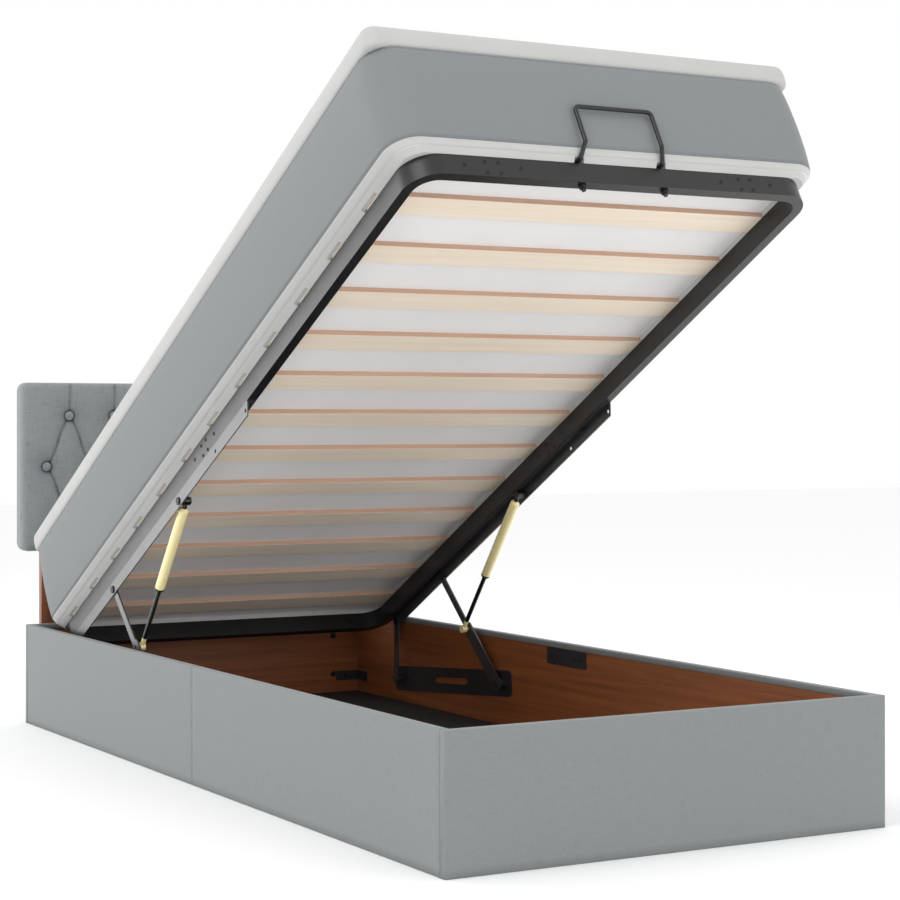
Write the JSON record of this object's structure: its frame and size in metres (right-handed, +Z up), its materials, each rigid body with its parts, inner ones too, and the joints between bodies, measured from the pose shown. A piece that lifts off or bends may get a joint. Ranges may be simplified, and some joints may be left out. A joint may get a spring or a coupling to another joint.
{
  "type": "ottoman storage bed",
  "caption": "Upholstered storage bed with a tufted headboard and a slatted mattress platform that lifts on gas struts from a low fabric-covered box.",
  "frame": {"origin": "The middle of the bed’s outline box, on the floor.", "axes": "+X to the right seen from the foot, +Y from the foot to the headboard, +Z up."},
  "size_m": [0.922, 2.084, 1.3927],
  "materials": {
    "panel_fabric": "matte",
    "headboard_fabric": "matte",
    "brown_board": "satin",
    "storage_floor_board": "matte",
    "pine": "matte",
    "leg_plywood": "satin",
    "slat_birch": "satin",
    "mattress_border": "matte",
    "topper_fabric": "matte",
    "strut_sleeve": "gloss",
    "strut_rod": "satin",
    "black_fasteners": "satin",
    "dark_bracket": "satin",
    "rail_steel": "satin",
    "link_steel": "satin",
    "black_frame": "satin"
  },
  "bodies": {
    "base": {"corner_brackets": "dark_bracket", "floor_battens": "pine", "foot_board": "brown_board", "foot_board_cover": "panel_fabric", "head_board": "brown_board", "head_board_cover": "panel_fabric", "headboard": "headboard_fabric", "headboard_bolts": "black_fasteners", "headboard_buttons": "headboard_fabric", "headboard_core": "pine", "joint_plates": "dark_bracket", "left_foot_side_board": "brown_board", "left_foot_side_cover": "panel_fabric", "left_head_side_board": "brown_board", "left_head_side_cover": "panel_fabric", "left_headboard_leg": "leg_plywood", "left_hinge_plate": "dark_bracket", "panel_screws": "black_fasteners", "right_foot_side_board": "brown_board", "right_foot_side_cover": "panel_fabric", "right_head_side_board": "brown_board", "right_head_side_cover": "panel_fabric", "right_headboard_leg": "leg_plywood", "right_hinge_plate": "dark_bracket", "storage_floor": "storage_floor_board"},
    "platform": {"foot_crossbar": "black_frame", "head_crossbar": "black_frame", "left_foot_rail": "black_frame", "right_foot_rail": "black_frame", "left_head_rail": "black_frame", "right_head_rail": "black_frame", "frame_sleeves": "black_frame", "frame_fasteners": "black_fasteners", "left_lift_rail": "rail_steel", "right_lift_rail": "rail_steel", "mattress": "mattress_border", "mattress_topper": "topper_fabric", "lift_handle": "black_frame", "pivot_bolts": "black_fasteners", "slat_01": "slat_birch", "slat_02": "slat_birch", "slat_03": "slat_birch", "slat_04": "slat_birch", "slat_05": "slat_birch", "slat_06": "slat_birch", "slat_07": "slat_birch", "slat_08": "slat_birch", "slat_09": "slat_birch", "slat_10": "slat_birch", "slat_11": "slat_birch", "slat_12": "slat_birch"},
    "left_front_arm": {"left_front_arm": "link_steel"},
    "right_front_arm": {"right_front_arm": "link_steel"},
    "left_rear_link": {"left_rear_link": "link_steel"},
    "right_rear_link": {"right_rear_link": "link_steel"},
    "left_strut_barrel": {"left_strut_barrel": "strut_sleeve"},
    "right_strut_barrel": {"right_strut_barrel": "strut_sleeve"},
    "left_strut_rod": {"left_strut_rod": "strut_rod"},
    "right_strut_rod": {"right_strut_rod": "strut_rod"}
  },
  "joints": [
    {"name": "left_arm_hinge", "type": "hinge", "parent": "base", "child": "left_front_arm", "pos_m": [0, 0.2479, 0.12075], "axis": [1, 0, 0], "range_deg": [-32.77, 0]},
    {"name": "platform_lift", "type": "hinge", "parent": "left_front_arm", "child": "platform", "pos_m": [0, 0.50622, 0.35147], "axis": [1, 0, 0], "range_deg": [0, 61.57], "stiffness_Nm_per_rad": 400, "springref_deg": -114.59},
    {"name": "right_arm_hinge", "type": "hinge", "parent": "base", "child": "right_front_arm", "pos_m": [0, 0.2479, 0.12075], "axis": [1, 0, 0], "range_deg": [-32.77, 0]},
    {"name": "left_link_hinge", "type": "hinge", "parent": "platform", "child": "left_rear_link", "pos_m": [0, 0.73228, 0.22714], "axis": [1, 0, 0], "range_deg": [-80.85, 0]},
    {"name": "left_strut_hinge", "type": "hinge", "parent": "platform", "child": "left_strut_barrel", "pos_m": [0, 0.12988, 0.55845], "axis": [1, 0, 0], "range_deg": [0, 17.67]},
    {"name": "left_strut_slide", "type": "slide", "parent": "left_strut_barrel", "child": "left_strut_rod", "axis": [0, 0.6096, -0.7927], "range_m": [-0.1458, 0]},
    {"name": "right_link_hinge", "type": "hinge", "parent": "platform", "child": "right_rear_link", "pos_m": [0, 0.73228, 0.22714], "axis": [1, 0, 0], "range_deg": [-80.85, 0]},
    {"name": "right_strut_hinge", "type": "hinge", "parent": "platform", "child": "right_strut_barrel", "pos_m": [0, 0.12988, 0.55845], "axis": [1, 0, 0], "range_deg": [0, 17.67]},
    {"name": "right_strut_slide", "type": "slide", "parent": "right_strut_barrel", "child": "right_strut_rod", "axis": [0, 0.6096, -0.7927], "range_m": [-0.1458, 0]}
  ],
  "couplings": [
    {"joint": "left_arm_hinge", "follows": "platform_lift", "ratio": -0.53208},
    {"joint": "right_arm_hinge", "follows": "platform_lift", "ratio": -0.53208},
    {"joint": "left_link_hinge", "follows": "platform_lift", "ratio": -1.313},
    {"joint": "left_strut_hinge", "follows": "platform_lift", "ratio": 0.28698},
    {"joint": "left_strut_slide", "follows": "platform_lift", "m_per_rad": -0.13561},
    {"joint": "right_link_hinge", "follows": "platform_lift", "ratio": -1.313},
    {"joint": "right_strut_hinge", "follows": "platform_lift", "ratio": 0.28698},
    {"joint": "right_strut_slide", "follows": "platform_lift", "m_per_rad": -0.13561}
  ]
}
